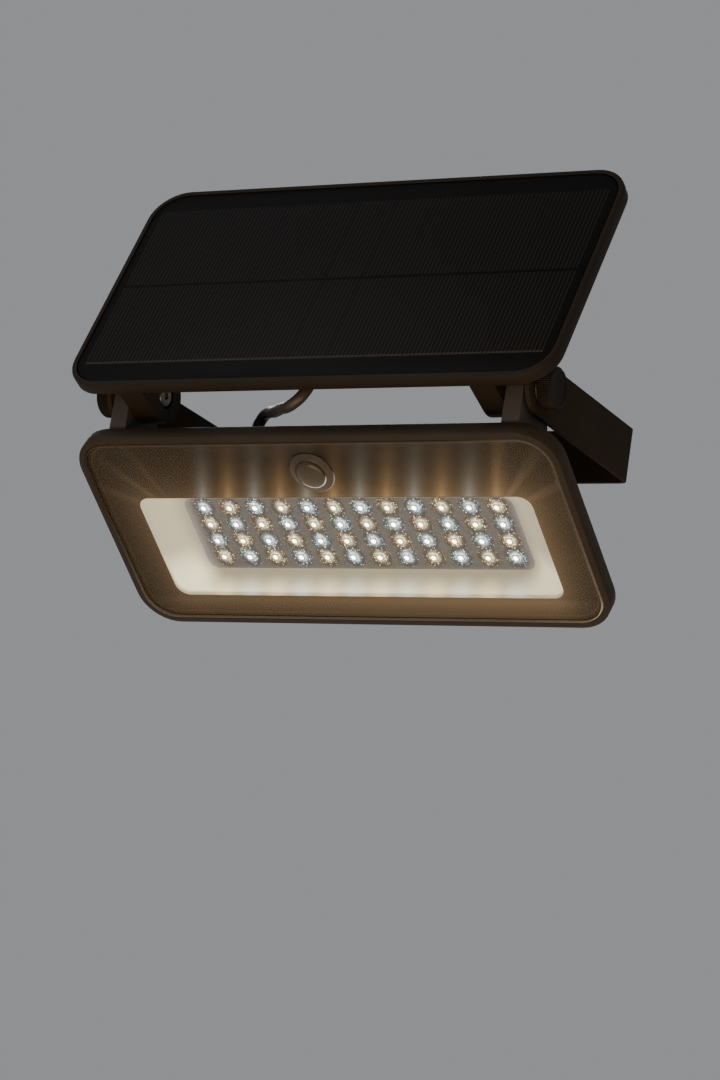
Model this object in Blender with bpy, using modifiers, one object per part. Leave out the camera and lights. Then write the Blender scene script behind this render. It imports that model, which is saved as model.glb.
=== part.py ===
"""Wall-mounted solar flood light: a flat steel U-bracket whose two arms carry, on one common
hinge axis, a flood-light head and the solar panel above it. A knurled thumb knob at each arm
clamps both. Everything is modelled at real size.

Axes: +X to the right as one faces the light, +Y into the wall, +Z up. The origin is the
middle of the bracket's back face, where it lies on the wall. The head and the panel are each
modelled upright in the frame of an empty on the hinge axis (front towards -Y) and are tilted
by turning that empty. All lengths below are millimetres, and all angles are degrees.
"""

import math

import bmesh
import bpy
from mathutils import Matrix, Vector

MM = 0.001
GAP = 0.3  # between pieces that touch

# --- driving dimensions ---------------------------------------------------------------
ARM_LENGTH = 92.0  # from the wall to the hinge axis
ARM_OUTER = 104.0  # from the middle to an arm's outer face
STRIP_WIDTH = 24.0
STRIP_THICK = 2.0
BEND_RADIUS = 4.0

HEAD_TILT = 56.5  # the head's face, down and back from upright
PANEL_TILT = 24.7  # the panel's face, back from upright

HEAD_WIDTH, HEAD_HEIGHT, HEAD_CORNER = 236.4, 105.6, 17.2
HEAD_FRONT = -29.2  # the bezel's front face, from the hinge axis
HEAD_TOP = -0.8
BEZEL_DEPTH = 8.1

PANEL_WIDTH, PANEL_HEIGHT, PANEL_CORNER = 239.0, 122.4, 16.8
PANEL_FRONT = -22.1
PANEL_BOTTOM = -13.7
PANEL_DEPTH = 6.2

BOLT_RADIUS = 2.45
BORE_RADIUS = 2.8
LUG_X = (80.5, 92.2)  # the panel's lugs, next to the head's ears
LUG_RADIUS = 11.8
EAR_X = (92.6, 100.8)  # the head's ears, next to the bracket's arms
EAR_RADIUS = 10.0
KNOB_X = (105.35, 112.0)
KNOB_RADIUS = 9.2
KNOB_RIDGES = 44

LED_COLUMNS, LED_ROWS = 12, 4
LED_PITCH = (13.3, 9.3)
LED_TOP_ROW = HEAD_TOP - 49.3
WINDOW_HALF = 98.0
SENSOR_Z = HEAD_TOP - 18.7

CELL_RADIUS, CELL_LENGTH, CELL_PITCH = 9.2, 65.0, 19.4

CABLE_RADIUS = 2.6

# --- derived places -------------------------------------------------------------------
HEAD_HALF = HEAD_WIDTH / 2
HEAD_BOTTOM = HEAD_TOP - HEAD_HEIGHT
BEZEL_BACK = HEAD_FRONT + BEZEL_DEPTH
LENS_INSET = 3.0
LENS_PROUD = 0.4
LENS_THICK = 2.5
LENS_BACK = HEAD_FRONT - LENS_PROUD + LENS_THICK
LEDGE = LENS_BACK + 0.9
FLANGE_FRONT = BEZEL_BACK + GAP
FLANGE_BACK = FLANGE_FRONT + 2.4
PAN_BACK = -11.0
PAN_FLOOR = PAN_BACK - 2.2
COVER_FRONT = PAN_BACK + GAP
COVER_BACK = 9.3
BEZEL_OPENING = dict(x=(-105, 105), z=(-94.8, -12.0), radius=12)
PANEL_BACK = PANEL_FRONT + PANEL_DEPTH
PANEL_TOP = PANEL_BOTTOM + PANEL_HEIGHT
PANEL_HALF = PANEL_WIDTH / 2
LED_BOARD_Y = (-15.8, -14.2)
BAY = dict(x=(-37, 37), z=(-86, -44))
BUTTON = (60.0, -27.0)
BUTTON_TRAVEL = 0.8
HEAD_GLAND = (-42.0, -20.5)
HEAD_GLAND_TIP = -4.5
PANEL_GLAND = (-2.0, -9.5)
PANEL_GLAND_TIP = -4.0
BEZEL_SCREWS = [(110.5, -26), (110.5, -82), (52, -6.6), (52, -99.8)]
BATTERY_SCREW = (44.7, -65.0)

# The link cable's run between the two glands, as chosen points (x, y, z).
CABLE_ROUTE = [
    (-41.6, -74.9, -7.9),
    (-38.4, -76.4, -4.3),
    (-34.3, -79.5, -3.9),
    (-30.6, -83.0, -5.1),
    (-26.9, -86.6, -6.2),
    (-23.2, -90.3, -6.9),
    (-19.6, -94.0, -7.6),
    (-16.0, -97.7, -8.5),
    (-12.3, -101.3, -9.5),
    (-8.1, -104.3, -9.4),
    (-3.9, -104.9, -6.5),
]


# --- scene, collections and materials -------------------------------------------------
def clear_scene():
    for item in list(bpy.data.objects):
        bpy.data.objects.remove(item, do_unlink=True)


def new_collection(name):
    group = bpy.data.collections.new(name)
    bpy.context.scene.collection.children.link(group)
    return group


def material(name, colour, roughness, metallic=0.0, alpha=1.0):
    made = bpy.data.materials.new(name)
    made.use_nodes = True
    shader = made.node_tree.nodes["Principled BSDF"]
    shader.inputs["Base Color"].default_value = (*colour, 1.0)
    shader.inputs["Roughness"].default_value = roughness
    shader.inputs["Metallic"].default_value = metallic
    shader.inputs["Alpha"].default_value = alpha
    return made


clear_scene()
PARTS = new_collection("solar_flood_light")
CUTTERS = new_collection("cutters")

PAINTED_STEEL = material("painted_steel", (0.030, 0.029, 0.028), 0.55, 0.3)
BLACK_PLASTIC = material("black_plastic", (0.028, 0.027, 0.026), 0.6)
KNOB_PLASTIC = material("knob_plastic", (0.020, 0.020, 0.020), 0.5)
STEEL = material("zinc_steel", (0.62, 0.62, 0.60), 0.35, 1.0)
BRASS = material("brass", (0.78, 0.60, 0.28), 0.3, 1.0)
NYLON = material("nylon", (0.75, 0.74, 0.70), 0.5)
RUBBER = material("black_rubber", (0.022, 0.022, 0.022), 0.8)
LENS_PLASTIC = material("prismatic_lens", (0.72, 0.68, 0.60), 0.25, alpha=0.45)
WHITE_PLASTIC = material("white_reflector", (0.86, 0.84, 0.78), 0.4)
WHITE_BOARD = material("white_board", (0.80, 0.80, 0.78), 0.45)
LED_RESIN = material("led_resin", (0.95, 0.88, 0.55), 0.3)
GREEN_BOARD = material("green_board", (0.03, 0.16, 0.07), 0.45)
CELL_WRAP = material("cell_wrap", (0.05, 0.17, 0.40), 0.4)
SENSOR_PLASTIC = material("sensor_plastic", (0.55, 0.53, 0.50), 0.45)
PANEL_GLASS = material("panel_glass", (0.015, 0.014, 0.014), 0.08, alpha=0.35)
CELL_DARK = material("solar_cells", (0.012, 0.012, 0.016), 0.3)
CABLE_JACKET = material("cable_jacket", (0.025, 0.025, 0.025), 0.6)


# --- bodies: one empty for each thing that moves ---------------------------------------
def pivot(name, location, tilt=0.0):
    empty = bpy.data.objects.new(name, None)
    empty.location = [v * MM for v in location]
    empty.rotation_euler.x = math.radians(tilt)
    empty.empty_display_size = 0.02
    PARTS.objects.link(empty)
    return empty


HINGE = (0, -ARM_LENGTH, 0)
BRACKET = pivot("bracket_frame", (0, 0, 0))
HEAD = pivot("head_pivot", HINGE, HEAD_TILT)
PANEL = pivot("panel_pivot", HINGE, -PANEL_TILT)


# --- shape helpers --------------------------------------------------------------------
def from_bmesh(name, mesh_data, finish, parent, smooth_angle=35):
    """A named part from a bmesh in millimetres, in its parent's frame."""
    bmesh.ops.scale(mesh_data, vec=(MM, MM, MM), verts=mesh_data.verts)
    bmesh.ops.recalc_face_normals(mesh_data, faces=mesh_data.faces)
    mesh = bpy.data.meshes.new(name)
    mesh_data.to_mesh(mesh)
    mesh_data.free()
    mesh.shade_smooth()
    mesh.set_sharp_from_angle(angle=math.radians(smooth_angle))
    mesh.materials.append(finish)
    part = bpy.data.objects.new(name, mesh)
    part.parent = parent
    PARTS.objects.link(part)
    return part


def block_bmesh(x, y, z, axis=None, radius=0.0, segments=6, keep=None, taper=0.0):
    """A box between the given limits. Its edges along axis are rounded where keep(midpoint)
    holds, and its far end in Y can be smaller by taper on every side."""
    data = bmesh.new()
    bmesh.ops.create_cube(data, size=1.0)
    size = Vector((x[1] - x[0], y[1] - y[0], z[1] - z[0]))
    middle = Vector((x[0] + x[1], y[0] + y[1], z[0] + z[1])) / 2
    for vert in data.verts:
        vert.co = Vector(a * b for a, b in zip(vert.co, size)) + middle
    if radius:
        along = "XYZ".index(axis)
        chosen = []
        for edge in data.edges:
            run = edge.verts[1].co - edge.verts[0].co
            if abs(run[along]) < 0.99 * run.length:
                continue
            if keep is None or keep((edge.verts[0].co + edge.verts[1].co) / 2):
                chosen.append(edge)
        bmesh.ops.bevel(data, geom=chosen, offset=radius, segments=segments,
                        profile=0.5, affect="EDGES")
    if taper:
        for vert in data.verts:
            if vert.co.y > middle.y:
                vert.co.x -= math.copysign(taper, vert.co.x - middle.x)
                vert.co.z -= math.copysign(taper, vert.co.z - middle.z)
    return data


def block(name, finish, parent, x, y, z, **options):
    return from_bmesh(name, block_bmesh(x, y, z, **options), finish, parent)


def slab(name, finish, parent, x, y, z, radius, segments=7, taper=0.0):
    """A plate facing the front, with rounded corners."""
    return block(name, finish, parent, x, y, z, axis="Y", radius=radius,
                 segments=segments, taper=taper)


def cylinder(name, finish, parent, axis, centre, span, radius, end_radius=None, sides=32):
    """A round bar or cone along axis, from span[0] to span[1]; centre is its place in the
    two other axes, in order."""
    data = bmesh.new()
    bmesh.ops.create_cone(data, cap_ends=True, segments=sides, radius1=radius,
                          radius2=radius if end_radius is None else end_radius,
                          depth=span[1] - span[0])
    middle = (span[0] + span[1]) / 2
    if axis == "X":
        turn, place = Matrix.Rotation(math.pi / 2, 4, "Y"), (middle, *centre)
    elif axis == "Y":
        turn, place = Matrix.Rotation(-math.pi / 2, 4, "X"), (centre[0], middle, centre[1])
    else:
        turn, place = Matrix.Identity(4), (*centre, middle)
    bmesh.ops.transform(data, matrix=Matrix.Translation(place) @ turn, verts=data.verts)
    return from_bmesh(name, data, finish, parent)


def turned(name, finish, parent, profile, place, direction, steps=20):
    """A turned part: profile is (radius, height) points, down its outer side, and height
    runs along direction from place. A profile that starts and ends at one point is a ring."""
    ring = profile[0] == profile[-1]
    points = profile[:-1] if ring else profile
    data = bmesh.new()
    made = [data.verts.new((radius, 0, height)) for radius, height in points]
    for first, second in zip(made, made[1:] + made[:1] if ring else made[1:]):
        data.edges.new((first, second))
    bmesh.ops.scale(data, vec=(MM, MM, MM), verts=data.verts)
    mesh = bpy.data.meshes.new(name)
    data.to_mesh(mesh)
    data.free()
    mesh.materials.append(finish)
    part = bpy.data.objects.new(name, mesh)
    part.parent = parent
    part.location = [v * MM for v in place]
    part.rotation_euler = Vector(direction).to_track_quat("Z", "Y").to_euler()
    spin = part.modifiers.new("spin", "SCREW")
    spin.axis = "Z"
    spin.steps = spin.render_steps = steps
    spin.use_merge_vertices = True
    spin.merge_threshold = 0.00002
    spin.use_smooth_shade = True
    PARTS.objects.link(part)
    return part


def outline_part(name, finish, parent, outline, axis, span, segments=None):
    """A flat outline of (a, b) points, in the two other axes in order, made thick along axis."""
    data = bmesh.new()
    order = {"X": lambda a, b, d: (d, a, b), "Y": lambda a, b, d: (a, d, b),
             "Z": lambda a, b, d: (a, b, d)}[axis]
    face = data.faces.new([data.verts.new(order(a, b, span[0])) for a, b in outline])
    grown = bmesh.ops.extrude_face_region(data, geom=[face])["geom"]
    shift = Vector(order(0, 0, span[1] - span[0]))
    moved = [item for item in grown if isinstance(item, bmesh.types.BMVert)]
    bmesh.ops.translate(data, vec=shift, verts=moved)
    return from_bmesh(name, data, finish, parent)


def boolean(target, other, operation):
    step = target.modifiers.new(other.name, "BOOLEAN")
    step.operation = operation
    step.solver = "EXACT"
    step.object = other
    if other.name in PARTS.objects:
        PARTS.objects.unlink(other)
        CUTTERS.objects.link(other)
    other.hide_render = True
    other.display_type = "WIRE"
    return target


def cut(target, *others):
    for other in others:
        boolean(target, other, "DIFFERENCE")
    return target


def join(target, *others):
    for other in others:
        boolean(target, other, "UNION")
    return target


def soften(part, width, segments=2, angle=40):
    edge = part.modifiers.new("soft_edges", "BEVEL")
    edge.width = width * MM
    edge.segments = segments
    edge.limit_method = "ANGLE"
    edge.angle_limit = math.radians(angle)
    return part


def final_mesh(part):
    """The part's mesh with its modifiers applied, for copies to share."""
    bpy.context.view_layer.update()
    graph = bpy.context.evaluated_depsgraph_get()
    return bpy.data.meshes.new_from_object(part.evaluated_get(graph))


def hull_with_circle(radius, corners, steps=32):
    """The outline of a lug: the convex outline round a circle about (0, 0) and some corners."""
    points = [(radius * math.cos(2 * math.pi * i / steps),
               radius * math.sin(2 * math.pi * i / steps)) for i in range(steps)]
    points = sorted(points + list(corners))

    def half(ordered):
        chain = []
        for point in ordered:
            while len(chain) > 1 and turn(chain[-2], chain[-1], point) <= 1e-6:
                chain.pop()
            chain.append(point)
        return chain[:-1]

    def turn(a, b, c):
        return (b[0] - a[0]) * (c[1] - a[1]) - (b[1] - a[1]) * (c[0] - a[0])

    return half(points) + half(points[::-1])


def inset(limits, by):
    return (limits[0] + by, limits[1] - by)


SIDES = (("left", -1), ("right", 1))


def sided(limits, side):
    """X limits given for the right, on the named side."""
    return limits if side > 0 else (-limits[1], -limits[0])


# --- bracket --------------------------------------------------------------------------
def wall_bracket():
    """A steel strip bent into a U, with round arm ends and two slots for wall screws."""
    half = STRIP_WIDTH / 2
    strip = block("wall_bracket", PAINTED_STEEL, BRACKET,
                  (-ARM_OUTER, ARM_OUTER), (-ARM_LENGTH - half - 5, 0), (-half, half),
                  axis="Z", radius=BEND_RADIUS, segments=4, keep=lambda p: p.y > -1)
    inner = ARM_OUTER - STRIP_THICK
    room = block("bracket_room", PAINTED_STEEL, BRACKET,
                 (-inner, inner), (-ARM_LENGTH - half - 9, -STRIP_THICK), (-half - 1, half + 1),
                 axis="Z", radius=BEND_RADIUS - STRIP_THICK, segments=4,
                 keep=lambda p: p.y > -STRIP_THICK - 1)
    ends = block("bracket_ends", PAINTED_STEEL, BRACKET,
                 (-ARM_OUTER - 1, ARM_OUTER + 1), (-ARM_LENGTH - half, 6), (-half, half),
                 axis="X", radius=half - 0.01, segments=10, keep=lambda p: p.y < -50)
    cut(strip, room)
    boolean(strip, ends, "INTERSECT")
    bore = cylinder("arm_bore", PAINTED_STEEL, BRACKET, "X", (-ARM_LENGTH, 0),
                    (-ARM_OUTER - 2, ARM_OUTER + 2), BORE_RADIUS, sides=24)
    cut(strip, bore)
    for name, side in SIDES:
        slot = block(f"wall_slot_{name}", PAINTED_STEEL, BRACKET,
                     (side * 48 - 9, side * 48 + 9), (-STRIP_THICK - 1, 1), (-2.75, 2.75),
                     axis="Y", radius=2.74, segments=6)
        cut(strip, slot)
    return strip


def ring_profile(outer, inner, thick):
    return [(outer, thick), (outer, 0), (inner, 0), (inner, thick), (outer, thick)]


def hinge_hardware(name, side):
    """The clamp bolt, fixed in the bracket, and the washers on each side of its arm."""
    outwards = (side, 0, 0)
    head_face = LUG_X[0] + 0.1
    grip, shank = 2.1, 110.6 - LUG_X[0] - 0.1
    profile = [(0, shank), (BOLT_RADIUS - 0.5, shank), (BOLT_RADIUS, shank - 0.6),
               (BOLT_RADIUS, grip), (4.7, grip), (4.7, 0.7), (4.2, 0.15), (3.4, 0), (0, 0)]
    bolt = turned(f"hinge_bolt_{name}", STEEL, BRACKET, profile,
                  (side * head_face, -ARM_LENGTH, 0), outwards)
    socket = cylinder(f"bolt_socket_{name}", STEEL, BRACKET, "X", (-ARM_LENGTH, 0),
                      sided((head_face - 1, head_face + 1.3), side), 1.75, sides=6)
    cut(bolt, socket)
    turned(f"friction_washer_{name}", NYLON, BRACKET, ring_profile(8.0, BORE_RADIUS, 0.7),
           (side * (EAR_X[1] + 0.25), -ARM_LENGTH, 0), outwards)
    turned(f"knob_washer_{name}", STEEL, BRACKET, ring_profile(7.0, BORE_RADIUS, 0.8),
           (side * (ARM_OUTER + 0.25), -ARM_LENGTH, 0), outwards)


# --- knobs ----------------------------------------------------------------------------
def knob(name, side):
    """A knurled thumb knob with a brass nut moulded into its inner side."""
    axis = pivot(f"knob_axis_{name}", HINGE)
    rings = [(KNOB_X[0], -0.9, 0), (KNOB_X[0] + 0.7, 0, 1), (KNOB_X[1] - 0.9, 0, 1),
             (KNOB_X[1], -1.1, 0)]
    data = bmesh.new()
    loops = []
    for x, smaller, ridged in rings:
        loop = []
        for i in range(2 * KNOB_RIDGES):
            radius = KNOB_RADIUS + smaller - (0.35 if ridged and i % 2 else 0)
            angle = math.pi * i / KNOB_RIDGES
            loop.append(data.verts.new((side * x, radius * math.cos(angle),
                                        radius * math.sin(angle))))
        loops.append(loop)
    for near, far in zip(loops, loops[1:]):
        for i in range(len(near)):
            following = (i + 1) % len(near)
            data.faces.new((near[i], near[following], far[following], far[i]))
    data.faces.new(loops[0])
    data.faces.new(loops[-1][::-1])
    grip = from_bmesh(f"thumb_knob_{name}", data, KNOB_PLASTIC, axis, smooth_angle=25)
    nut_room = cylinder(f"knob_nut_room_{name}", KNOB_PLASTIC, axis, "X", (0, 0),
                        sided((KNOB_X[0] - 1, KNOB_X[1] - 1.1), side), 4.8, sides=6)
    cut(grip, nut_room)
    nut = cylinder(f"knob_insert_{name}", BRASS, axis, "X", (0, 0),
                   sided((KNOB_X[0] + 0.15, KNOB_X[1] - 1.7), side), 4.4, sides=6)
    thread = cylinder(f"knob_thread_{name}", BRASS, axis, "X", (0, 0),
                      sided((KNOB_X[0] - 1, KNOB_X[1]), side), BOLT_RADIUS + 0.2, sides=24)
    cut(nut, thread)


# --- head: shells -----------------------------------------------------------------------
HEAD_X = (-HEAD_HALF, HEAD_HALF)
HEAD_Z = (HEAD_BOTTOM, HEAD_TOP)


def front_bezel():
    """The frame round the lens: a ring with a ledge that the lens lies on."""
    frame = slab("front_bezel", BLACK_PLASTIC, HEAD, HEAD_X, (HEAD_FRONT, BEZEL_BACK), HEAD_Z,
                 HEAD_CORNER, segments=9)
    soften(frame, 0.9)
    recess = slab("lens_recess", BLACK_PLASTIC, HEAD, inset(HEAD_X, LENS_INSET),
                  (HEAD_FRONT - 1, LEDGE), inset(HEAD_Z, LENS_INSET),
                  HEAD_CORNER - LENS_INSET, segments=9)
    through = slab("bezel_opening", BLACK_PLASTIC, HEAD, BEZEL_OPENING["x"],
                   (HEAD_FRONT - 1, BEZEL_BACK + 1), BEZEL_OPENING["z"],
                   BEZEL_OPENING["radius"])
    cut(frame, recess, through)
    for i, (x, z) in enumerate(BEZEL_SCREWS):
        for name, side in SIDES:
            pilot = cylinder(f"bezel_pilot_{name}_{i}", BLACK_PLASTIC, HEAD, "Y",
                             (side * x, z), (BEZEL_BACK - 3.9, BEZEL_BACK + 1), 1.6, sides=16)
            cut(frame, pilot)
    return frame


def lens():
    """The clear prismatic cover, a little proud of the bezel, with a hole for the sensor."""
    by = LENS_INSET + GAP
    plate = slab("lens", LENS_PLASTIC, HEAD, inset(HEAD_X, by),
                 (HEAD_FRONT - LENS_PROUD, LENS_BACK), inset(HEAD_Z, by),
                 HEAD_CORNER - by, segments=9)
    soften(plate, 0.5, segments=1)
    hole = cylinder("sensor_hole", LENS_PLASTIC, HEAD, "Y", (0, SENSOR_Z),
                    (HEAD_FRONT - 3, LENS_BACK + 2), 7.4, sides=40)
    return cut(plate, hole)


def flat_ring(name, finish, parent, x, y, z, radius, width):
    ring = slab(name, finish, parent, x, y, z, radius)
    hole = slab(f"{name}_hole", finish, parent, inset(x, width), (y[0] - 1, y[1] + 1),
                inset(z, width), radius - width)
    return cut(ring, hole)


def ear(name, side):
    """One of the head's two hinge ears: a lug whose front flank stands upright in use."""
    upright = math.radians(HEAD_TILT)
    start = FLANGE_FRONT + 0.1
    touch = (-EAR_RADIUS * math.cos(upright), EAR_RADIUS * math.sin(upright))
    flank = (start, touch[1] - (touch[0] - start) / math.tan(upright))
    outline = hull_with_circle(EAR_RADIUS, [flank, (start, -34), (PAN_BACK - 0.1, -34)])
    return outline_part(f"ear_{name}", BLACK_PLASTIC, HEAD, outline, "X",
                        sided(EAR_X, side))


def rear_housing():
    """The back shell: a flange behind the bezel, a shallow pan for the electronics, and the
    two ears. It is open to the front, and to the back behind the battery cover."""
    shell = slab("rear_housing", BLACK_PLASTIC, HEAD, inset(HEAD_X, 2.5),
                 (FLANGE_FRONT, FLANGE_BACK), inset(HEAD_Z, 2.5), HEAD_CORNER - 2.5)
    soften(shell, 0.8, segments=1)
    pan_x, pan_z = (-102.5, 102.5), (-93.5, -10.5)
    pan = slab("pan_outside", BLACK_PLASTIC, HEAD, pan_x, (FLANGE_BACK - 1, PAN_BACK), pan_z,
               10, segments=5, taper=2.2)
    soften(pan, 0.9, segments=1)
    join(shell, pan)
    for name, side in SIDES:
        join(shell, ear(name, side))
    room = slab("pan_room", BLACK_PLASTIC, HEAD, inset(pan_x, 2.4),
                (FLANGE_FRONT - 1, PAN_FLOOR), inset(pan_z, 2.4), 8, segments=5, taper=2.0)
    cut(shell, room)
    groove_x, groove_z = (-108.2, 108.2), (-98.0, -9.0)
    groove = flat_ring("gasket_groove", BLACK_PLASTIC, HEAD, groove_x,
                       (FLANGE_FRONT - 1, FLANGE_FRONT + 1.2), groove_z, 14, 2.9)
    bay = slab("bay_opening", BLACK_PLASTIC, HEAD, BAY["x"], (PAN_FLOOR - 1, PAN_BACK + 1),
               BAY["z"], 3, segments=3)
    button_hole = cylinder("button_hole", BLACK_PLASTIC, HEAD, "Y", BUTTON,
                           (PAN_FLOOR - 1, PAN_BACK + 1), 5.4)
    cut(shell, groove, bay, button_hole)
    hinge_bore = cylinder("ear_bore", BLACK_PLASTIC, HEAD, "X", (0, 0),
                          (-EAR_X[1] - 1, EAR_X[1] + 1), BORE_RADIUS + 0.1, sides=24)
    cut(shell, hinge_bore)
    for i, (x, z) in enumerate(BEZEL_SCREWS):
        for name, side in SIDES:
            hole = cylinder(f"flange_hole_{name}_{i}", BLACK_PLASTIC, HEAD, "Y",
                            (side * x, z), (FLANGE_FRONT - 1, FLANGE_BACK + 1), 1.7, sides=16)
            cut(shell, hole)
    for name, side in SIDES:
        hole = cylinder(f"battery_screw_hole_{name}", BLACK_PLASTIC, HEAD, "Y",
                        (side * BATTERY_SCREW[0], BATTERY_SCREW[1]),
                        (PAN_FLOOR - 1, PAN_BACK + 1), 1.6, sides=16)
        cut(shell, hole)
    gasket = flat_ring("housing_gasket", RUBBER, HEAD, inset(groove_x, 0.3),
                       (FLANGE_FRONT + 0.05, FLANGE_FRONT + 0.9), inset(groove_z, 0.3),
                       13.7, 2.3)
    return shell, gasket


def battery_cover():
    """The screwed cover of the battery bay, with the bulge that the cells need."""
    x, z = (-48, 48), (-91, -39)
    cover = slab("battery_cover", BLACK_PLASTIC, HEAD, x, (COVER_FRONT, COVER_FRONT + 2), z,
                 6, segments=4)
    bulge_x, bulge_z = (-41.5, 41.5), (-89.5, -40.5)
    bulge = slab("battery_bulge", BLACK_PLASTIC, HEAD, bulge_x, (COVER_FRONT + 1, COVER_BACK),
                 bulge_z, 6, segments=4, taper=2.6)
    soften(bulge, 1.2, segments=1)
    room = slab("battery_room", BLACK_PLASTIC, HEAD, inset(bulge_x, 1.8),
                (COVER_FRONT - 1, COVER_BACK - 1.8), inset(bulge_z, 1.8), 4, segments=4,
                taper=2.4)
    join(cover, bulge)
    cut(cover, room)
    for name, side in SIDES:
        hole = cylinder(f"cover_screw_hole_{name}", BLACK_PLASTIC, HEAD, "Y",
                        (side * BATTERY_SCREW[0], BATTERY_SCREW[1]),
                        (COVER_FRONT - 1, COVER_FRONT + 3), 1.6, sides=16)
        cut(cover, hole)
    return cover


# --- head: light source ---------------------------------------------------------------
def rounded_ring(x_half, z, radius, y, steps=5):
    """Points of a rounded rectangle in a plane of constant y."""
    points = []
    middle, half = (z[0] + z[1]) / 2, (z[1] - z[0]) / 2
    for quarter in range(4):
        sign_x, sign_z = ((1, 1), (-1, 1), (-1, -1), (1, -1))[quarter]
        for i in range(steps + 1):
            angle = math.pi / 2 * (quarter + i / steps)
            points.append((sign_x * (x_half - radius) + radius * math.cos(angle), y,
                           middle + sign_z * (half - radius) + radius * math.sin(angle)))
    return points


def reflector():
    """The white tray: a flange behind the lens, a short lip, and walls sloping to the LEDs."""
    front = LENS_BACK + 0.4
    rings = [(WINDOW_HALF + 3, (-94.0, -32.5), 9, front),
             (WINDOW_HALF, (-91.0, -35.5), 7, front),
             (WINDOW_HALF - 0.6, (-90.4, -36.1), 6.5, front + 1.4),
             (91.5, (-88.0, -39.0), 6, front + 4.6),
             (86.5, (-86.0, -41.8), 5.5, front + 7.4),
             (82.0, (-84.0, -44.0), 5, front + 9.6)]
    data = bmesh.new()
    loops = [[data.verts.new(point) for point in rounded_ring(half, z, radius, y)]
             for half, z, radius, y in rings]
    for near, far in zip(loops, loops[1:]):
        for i in range(len(near)):
            following = (i + 1) % len(near)
            data.faces.new((near[i], near[following], far[following], far[i]))
    tray = from_bmesh("reflector", data, WHITE_PLASTIC, HEAD)
    wall = tray.modifiers.new("wall", "SOLIDIFY")
    wall.thickness = 0.8 * MM
    wall.offset = 0
    return tray


def led_board():
    """The aluminium-cored board, and a strip of chips for each row of LEDs."""
    slab("led_board", WHITE_BOARD, HEAD, (-84.5, 84.5), LED_BOARD_Y, (-86.5, -41.5), 3,
         segments=3)
    base = LED_BOARD_Y[0] - GAP
    chip, gap = 3.0, LED_PITCH[0] - 3.0
    for row in range(LED_ROWS):
        z = LED_TOP_ROW - row * LED_PITCH[1]
        x = -(LED_COLUMNS - 1) / 2 * LED_PITCH[0] - chip / 2
        outline = [(x - 2, base), (x - 2, base - 0.25)]
        for _ in range(LED_COLUMNS):
            outline += [(x, base - 0.25), (x, base - 1.0), (x + chip, base - 1.0),
                        (x + chip, base - 0.25)]
            x += chip + gap
        outline += [(x - gap + 2, base - 0.25), (x - gap + 2, base)]
        outline_part(f"led_row_{row + 1}", LED_RESIN, HEAD, outline, "Z",
                     (z - chip / 2, z + chip / 2))


# --- head: sensor, electronics and battery ----------------------------------------------
def motion_sensor():
    """The sensor's dome and collar in front of the lens, and its can and board behind it."""
    collar = HEAD_FRONT - LENS_PROUD - GAP
    dome = [(0, 3.6)]
    for i in range(1, 5):
        angle = math.radians(90 - 19.5 * i)
        dome.append((6.6 * math.cos(angle), 1.75 + 1.85 * math.sin(angle)))
    profile = dome + [(6.9, 1.8), (7.3, 1.7), (10.5, 0.45), (10.5, 0), (7.0, 0),
                      (7.0, -5.4), (5.8, -5.4), (5.8, 0.9), (0, 1.9)]
    turned("sensor_dome", SENSOR_PLASTIC, HEAD, profile, (0, collar, SENSOR_Z), (0, -1, 0),
           steps=36)
    board = (-19.2, -18.0)
    slab("sensor_board", GREEN_BOARD, HEAD, (-9.5, 9.5), board,
         (SENSOR_Z - 7.5, SENSOR_Z + 5.0), 1, segments=2)
    can = [(0, 4.4), (2.6, 4.4), (2.6, 4.1), (4.1, 4.1), (4.1, 0.5), (4.7, 0.5), (4.7, 0),
           (0, 0)]
    turned("sensor_can", STEEL, HEAD, can, (0, board[0] - GAP, SENSOR_Z), (0, -1, 0))


def control_board():
    """The charge and dimming board, with its larger components, and the button's switch."""
    y = (-18.4, -17.0)
    board = slab("control_board", GREEN_BOARD, HEAD, (16, 92), y, (-38, -16), 1, segments=2)
    components = {"inductor": ((22, 31), (-22.4, y[0] + 0.2), (-32, -23)),
                  "driver_chip": ((38, 44), (-19.8, y[0] + 0.2), (-30, -25)),
                  "terminal_block": ((74, 88), (-23.0, y[0] + 0.2), (-25, -18)),
                  "capacitor": ((50, 57), (-22.8, y[0] + 0.2), (-24.5, -18))}
    for name, (x, depth, z) in components.items():
        join(board, block(name, GREEN_BOARD, HEAD, x, depth, z))
    x, z = BUTTON
    block("button_switch", SENSOR_PLASTIC, HEAD, (x - 3, x + 3), (y[1] + 0.2, -14.7),
          (z - 3, z + 3))


def mode_button():
    """The push button in the housing's back: it travels towards the front onto its switch.
    Its flange stops it inside, and a raised ring guards it outside."""
    x, z = BUTTON
    place = (x, PAN_FLOOR - 0.6, z)
    profile = [(0, 4.2), (3.6, 4.2), (4.6, 3.9), (4.9, 3.3), (4.9, 0.45), (6.3, 0.45),
               (6.3, 0), (0, 0)]
    turned("mode_button", RUBBER, HEAD, profile, place, (0, 1, 0))
    ring = [(7.6, 0.5), (7.6, 0), (5.8, 0), (5.8, 1.0), (7.0, 1.0), (7.6, 0.5)]
    turned("button_ring", BLACK_PLASTIC, HEAD, ring, (x, PAN_BACK + 0.2, z), (0, 1, 0))


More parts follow.
